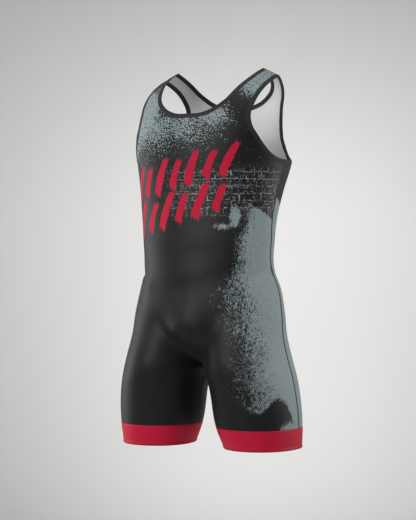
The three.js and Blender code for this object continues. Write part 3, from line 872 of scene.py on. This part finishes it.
def tube_faces(rings, around, flip):
    faces = []
    for i in range(rings):
        for j in range(around):
            a, b = i * around + j, i * around + (j + 1) % around
            c, d = ((i + 1) % rings) * around + (j + 1) % around, ((i + 1) % rings) * around + j
            faces.append((a, b, c, d) if flip else (a, d, c, b))
    return faces


def signed_volume(points, faces):
    quads = np.array(faces)
    a, b, c, d = (points[quads[:, i]] for i in range(4))
    return float((np.cross(a, b) * c).sum() + (np.cross(a, c) * d).sum())


def binding_piece(name, node, kind, hand=None):
    """One folded tape: a closed tube of a flattened round section that follows the open edge."""
    lines = []
    lengths = None
    turns = np.linspace(0, TURN, BINDING_SECTION, endpoint=False)
    half = (BINDING_WIDTH - BINDING_JOIN_GAP) / 2
    for turn in turns:
        c, s = math.cos(turn), math.sin(turn)
        flat = math.copysign(abs(c) ** BINDING_SQUARENESS, c)
        lift = math.copysign(abs(s) ** BINDING_SQUARENESS, s)
        points, outs = loop_of(kind, half - half * flat, hand)
        if lengths is None:
            lengths = np.concatenate([[0], np.cumsum(np.linalg.norm(np.diff(points, axis=0), axis=1))])
        ripple = sum(depth * np.sin(lengths / wave + start) for depth, wave, start in BINDING_RIPPLES)
        lines.append(points + outs * (BINDING_CENTRE + lift * (BINDING_HALF_THICK + ripple))[:, None])
    grid = np.stack(lines, 1)
    rings, around = grid.shape[:2]
    points = grid.reshape(-1, 3)
    faces = tube_faces(rings, around, True)
    if signed_volume(points, faces) < 0:
        faces = tube_faces(rings, around, False)
    across = np.broadcast_to(turns * 5, (rings, around))
    cut = np.stack([np.broadcast_to(lengths[:, None], (rings, around)), across, across], -1) * MM
    piece = add_piece(name, points, faces, [binding_tape], None, {"cut": cut.reshape(-1, 3)})
    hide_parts(node)
    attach(piece, "root")


def thread_stitches(name, runs, radius):
    """Many short stitches as one mesh. Each run is (start, end, out) arrays of points in mm."""
    sides = 6
    turns = np.linspace(0, TURN, sides, endpoint=False)
    profile = [(0.0, 0.25), (0.18, 0.9), (0.5, 1.15), (0.82, 0.9), (1.0, 0.25)]
    points, faces = [], []
    for start, end, out in runs:
        along = end - start
        length = np.linalg.norm(along, axis=1)[:, None]
        forward = along / length
        side_way = np.cross(forward, out)
        side_way /= np.linalg.norm(side_way, axis=1)[:, None]
        lift = np.cross(side_way, forward)
        for k in range(len(start)):
            base = len(points)
            for share, size in profile:
                middle = start[k] + along[k] * share
                for turn in turns:
                    offset = math.cos(turn) * side_way[k] + math.sin(turn) * lift[k] * 0.75
                    points.append(middle + offset * radius * size)
            for ring in range(len(profile) - 1):
                for j in range(sides):
                    a = base + ring * sides + j
                    b = base + ring * sides + (j + 1) % sides
                    faces.append((a, b, b + sides, a + sides))
            faces.append(tuple(base + j for j in reversed(range(sides))))
            faces.append(tuple(base + (len(profile) - 1) * sides + j for j in range(sides)))
    piece = add_piece(name, np.array(points), faces, [stitching_thread])
    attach(piece, "root")


def even_stitches(points, outs, pitch, length, closed):
    """Stitches of one length, evenly spaced along a line of points."""
    if closed:
        points, outs = np.concatenate([points, points[:1]]), np.concatenate([outs, outs[:1]])
    at = np.concatenate([[0], np.cumsum(np.linalg.norm(np.diff(points, axis=0), axis=1))])
    starts = np.arange(0, at[-1] - length, pitch)

    def on_line(values, where):
        return np.stack([np.interp(where, at, values[:, i]) for i in range(3)], -1)

    return on_line(points, starts), on_line(points, starts + length), on_line(outs, starts)


def binding_stitching(name, kind, hand=None):
    runs = []
    for row in STITCH_ROWS:
        points, outs = loop_of(kind, BINDING_WIDTH - row, hand)
        lifted = points + outs * (BINDING_CENTRE + BINDING_HALF_THICK - STITCH_SINK)
        runs.append(even_stitches(lifted, outs, STITCH_PITCH, STITCH_LENGTH, True))
        under = points + outs * (BINDING_CENTRE - BINDING_HALF_THICK + STITCH_SINK)
        runs.append(even_stitches(under, -outs, STITCH_PITCH, STITCH_LENGTH, True))
    thread_stitches(name, runs, STITCH_RADIUS)


for name, kind, hand in (("neck_binding", "neck", None), ("armhole_binding_left", "arm", 1),
                         ("armhole_binding_right", "arm", -1)):
    binding_piece(f"{name}_tape", name, kind, hand)
    binding_stitching(f"{name}_stitching", kind, hand)


# The leg bands are crimson stretch tape, 43 mm deep, sewn round the hem of each leg, with the lower edge
# rolled over an elastic. They grip the thigh.
BAND_PROFILE = [
    (0.5, -0.1), (1.1, 0.4), (3.0, 0.62), (6.0, 0.55), (12.0, 0.6), (20.0, 0.62), (28.0, 0.6), (34.0, 0.62),
    (37.6, 0.5), (38.3, 0.95), (39.6, 1.35), (41.2, 1.4), (42.4, 1.1), (43.1, 0.4), (43.2, -0.6),
    (42.6, -1.5), (41.0, -1.8), (38.6, -1.6), (37.4, -1.0), (28.0, -0.95), (16.0, -0.95), (6.0, -0.95),
    (2.0, -1.1), (0.7, -0.8),
]
BAND_STEPS = 96


def band_material():
    finish = Finish("leg_band_knit", Roughness=0.55, Specular_IOR_Level=0.2, Sheen_Weight=0.03,
                    Sheen_Roughness=0.35)
    cut = finish.attribute("cut")
    girth, height, _ = finish.parts(cut)
    grain = finish.noise(cut, 640.0, 2.0, 0.6)
    drift = finish.noise(cut, 22.0, 2.0, 0.5)
    crimson = finish.blend(grain, (0.46, 0.003, 0.028, 1), (0.58, 0.006, 0.046, 1))
    deep = finish.blend(drift.between(0.35, 0.7) * 0.35, crimson, (0.38, 0.002, 0.016, 1))
    rolled = height.between(0.0375, 0.0395)
    finish.wire(Base_Color=finish.blend(rolled * 0.4, deep, (0.26, 0.003, 0.018, 1)))
    finish.bump(knit_height(finish, girth, height) + grain * 0.3, 0.4, 0.00015)
    return finish.material


leg_band_knit = band_material()


def band_ring(hand, depth):
    """Points all round one leg at some depth under the band's top, with outward directions."""
    up = BAND_TOP - depth - CHEST_LINE
    shares = np.linspace(0, 1, BAND_STEPS // 2 + 1)
    front = cloth_point("front", shares, up)
    back = cloth_point("back", shares, up)
    points = np.concatenate([front, back[-2:0:-1]]) * [hand, 1, 1]
    along = np.roll(points, -1, axis=0) - np.roll(points, 1, axis=0)
    out = np.cross(along, [0, 0, 1.0])
    out /= np.linalg.norm(out, axis=1)[:, None]
    middle = points.mean(0)
    out *= np.sign(((points - middle) * out).sum(1))[:, None]
    return points, out


for hand_name, hand in HANDS.items():
    rings = []
    for depth, lift in BAND_PROFILE:
        points, out = band_ring(hand, min(depth, BAND_TOP - HEM))
        extra = np.array([0, 0, -max(depth - (BAND_TOP - HEM), 0)])
        rings.append(points + out * lift + extra)
    grid = np.stack(rings, 1)
    count, around = grid.shape[:2]
    points = grid.reshape(-1, 3)
    faces = tube_faces(count, around, True)
    if signed_volume(points, faces) < 0:
        faces = tube_faces(count, around, False)
    lengths = np.concatenate([[0], np.cumsum(np.linalg.norm(np.diff(grid[:, 0], axis=0), axis=1))])
    depths = np.array([depth for depth, _ in BAND_PROFILE])
    cut = np.stack(np.broadcast_arrays(lengths[:, None], depths[None, :], 0.0), -1) * MM
    band = add_piece(f"leg_band_{hand_name}_cloth", points, faces, [leg_band_knit], None,
                     {"cut": cut.reshape(-1, 3)}, 70.0)
    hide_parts(f"leg_band_{hand_name}")
    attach(band, "root")
    one_face_area = float(quad_areas(points, np.array(faces)).sum()) / 2


# The long seams are sewn flat with black thread that lies proud as a narrow ladder: down both sides, over
# both shoulders and along both inseams.
SEAM_HALF_WIDTH = 1.5
SEAM_PITCH = 1.7
SEAM_LIFT = 0.12
SEAM_THREAD_RADIUS = 0.3
SEAM_END_GAP = 0.5
BAND_EDGE_GAP = 0.6
SEAM_STEPS = {"side": 260, "inseam": 60, "shoulder": 12}
ACROSS_SEAM = np.array([0.0, 1.0, 0.0])


def seam_line(which, hand):
    """Points along a seam with outward directions. Every seam runs so that ACROSS_SEAM lies across it."""
    steps = SEAM_STEPS[which]
    if which == "side":
        _, arm_inset = garment_edges("front")
        top = arm_inset(BINDING_WIDTH)[-1, 1] - SEAM_END_GAP
        ups = np.linspace(top, BAND_TOP - CHEST_LINE + BAND_EDGE_GAP, steps)
        line = cloth_point("front", 1.0, ups)
    elif which == "inseam":
        ups = np.linspace(CROTCH - CHEST_LINE - 1.0, BAND_TOP - CHEST_LINE + BAND_EDGE_GAP, steps)
        line = cloth_point("front", 0.0, ups)
    else:
        first = NECK_EDGE["front"][0][0] + BINDING_WIDTH + SEAM_END_GAP
        last = ARM_EDGE["front"][0][0] - BINDING_WIDTH - SEAM_END_GAP
        x = np.linspace(first, last, steps)
        line = cloth_point("front", across_at("front", x, np.full_like(x, ARCH)), np.full_like(x, ARCH))
    line = line * [hand, 1, 1]
    along = np.gradient(line, axis=0)
    out = np.cross(along, ACROSS_SEAM)
    out /= np.linalg.norm(out, axis=1)[:, None]
    if which == "shoulder":
        out *= np.sign(out[:, 2:3])
    elif which == "side":
        out *= np.sign(out[:, :1]) * hand
    else:
        out *= -np.sign(out[:, :1]) * hand
    return line, out


for which in ("side", "shoulder", "inseam"):
    for hand_name, hand in HANDS.items():
        line, out = seam_line(which, hand)
        start, end, outs = even_stitches(line, out, SEAM_PITCH, SEAM_PITCH, False)
        lifted, lifted_end = start + outs * SEAM_LIFT, end + outs * SEAM_LIFT
        wide = ACROSS_SEAM * SEAM_HALF_WIDTH
        runs = [(lifted - wide, lifted_end + wide, outs), (lifted + wide, lifted_end - wide, outs)]
        for edge in (-wide, wide):
            runs.append((lifted + edge, lifted_end + edge, outs))
        thread_stitches(f"{which}_seam_{hand_name}", runs, SEAM_THREAD_RADIUS)


# A plain studio: a pale floor that sweeps up into a pale wall all round, soft lamps in front and behind,
# and a broad lamp on the wall behind the garment.
FLOOR_LEVEL = -1.75
ROOM_RADIUS = 5.2
SWEEP = 1.6
WALL_TOP = 4.2
SWEEP_STEPS = 12
ROOM_STEPS = 72


def studio_material():
    finish = Finish("studio_paper", Roughness=0.9)
    where = finish.add("ShaderNodeTexCoord", output="Object")
    tone = finish.noise(where, 0.7, 2.0, 0.5)
    finish.wire(Base_Color=finish.blend(tone, (0.62, 0.62, 0.61, 1), (0.66, 0.66, 0.65, 1)))
    return finish.material


profile = [(0.0, FLOOR_LEVEL), (2.0, FLOOR_LEVEL), (ROOM_RADIUS - SWEEP, FLOOR_LEVEL)]
for step in range(1, SWEEP_STEPS + 1):
    turn = step / SWEEP_STEPS * math.pi / 2
    out, up = SWEEP * math.sin(turn), SWEEP * (1 - math.cos(turn))
    profile.append((ROOM_RADIUS - SWEEP + out, FLOOR_LEVEL + up))
profile.append((ROOM_RADIUS, WALL_TOP))
room_points = []
for radius, height in profile:
    for step in range(ROOM_STEPS):
        turn = step / ROOM_STEPS * TURN
        room_points.append((radius * math.cos(turn) * 1000, radius * math.sin(turn) * 1000, height * 1000))
room_faces = []
for i in range(len(profile) - 1):
    for j in range(ROOM_STEPS):
        a, b = i * ROOM_STEPS + j, i * ROOM_STEPS + (j + 1) % ROOM_STEPS
        room_faces.append(tidy_face((a, b, b + ROOM_STEPS, a + ROOM_STEPS)))
studio = add_piece("studio_floor", np.array(room_points), room_faces, [studio_material()])


def lamp(name, right, up, towards, size, power, aim=GARMENT_MIDDLE, tall=None):
    """A soft rectangular lamp, placed in metres from the garment's middle as the camera sees it."""
    data = bpy.data.lights.new(name, "AREA")
    data.energy = power
    data.size = size
    if tall:
        data.shape = "RECTANGLE"
        data.size_y = tall
    lamp_object = bpy.data.objects.new(name, data)
    bpy.context.collection.objects.link(lamp_object)
    place = GARMENT_MIDDLE + to_right * right + to_camera * towards + Vector((0, 0, up))
    lamp_object.location = place
    lamp_object.rotation_mode = "QUATERNION"
    lamp_object.rotation_quaternion = (place - aim).to_track_quat("Z", "Y")


lamp("key_lamp", -1.7, 0.9, 2.0, 1.3, 54, tall=1.8)
lamp("fill_lamp", 2.0, 0.5, 1.2, 1.0, 7, tall=1.6)
lamp("left_rim_lamp", -1.8, 0.1, -0.9, 0.6, 20, tall=1.8)
lamp("right_rim_lamp", 1.8, 0.3, -0.3, 0.7, 18, tall=1.8)
lamp("top_lamp", 0.0, 1.9, 0.2, 1.4, 12)
wall_spot = GARMENT_MIDDLE - to_camera * 5.0 + to_right * 0.25 + Vector((0, 0, 0.25))
lamp("wall_lamp", 0.2, 0.15, -3.2, 0.7, 38, aim=wall_spot, tall=0.7)

world = bpy.data.worlds.new("studio_air")
bpy.context.scene.world = world
world.use_nodes = True
world.node_tree.nodes["Background"].inputs["Color"].default_value = (0.85, 0.86, 0.87, 1)
world.node_tree.nodes["Background"].inputs["Strength"].default_value = 0.2
bpy.context.scene.view_settings.view_transform = "Standard"
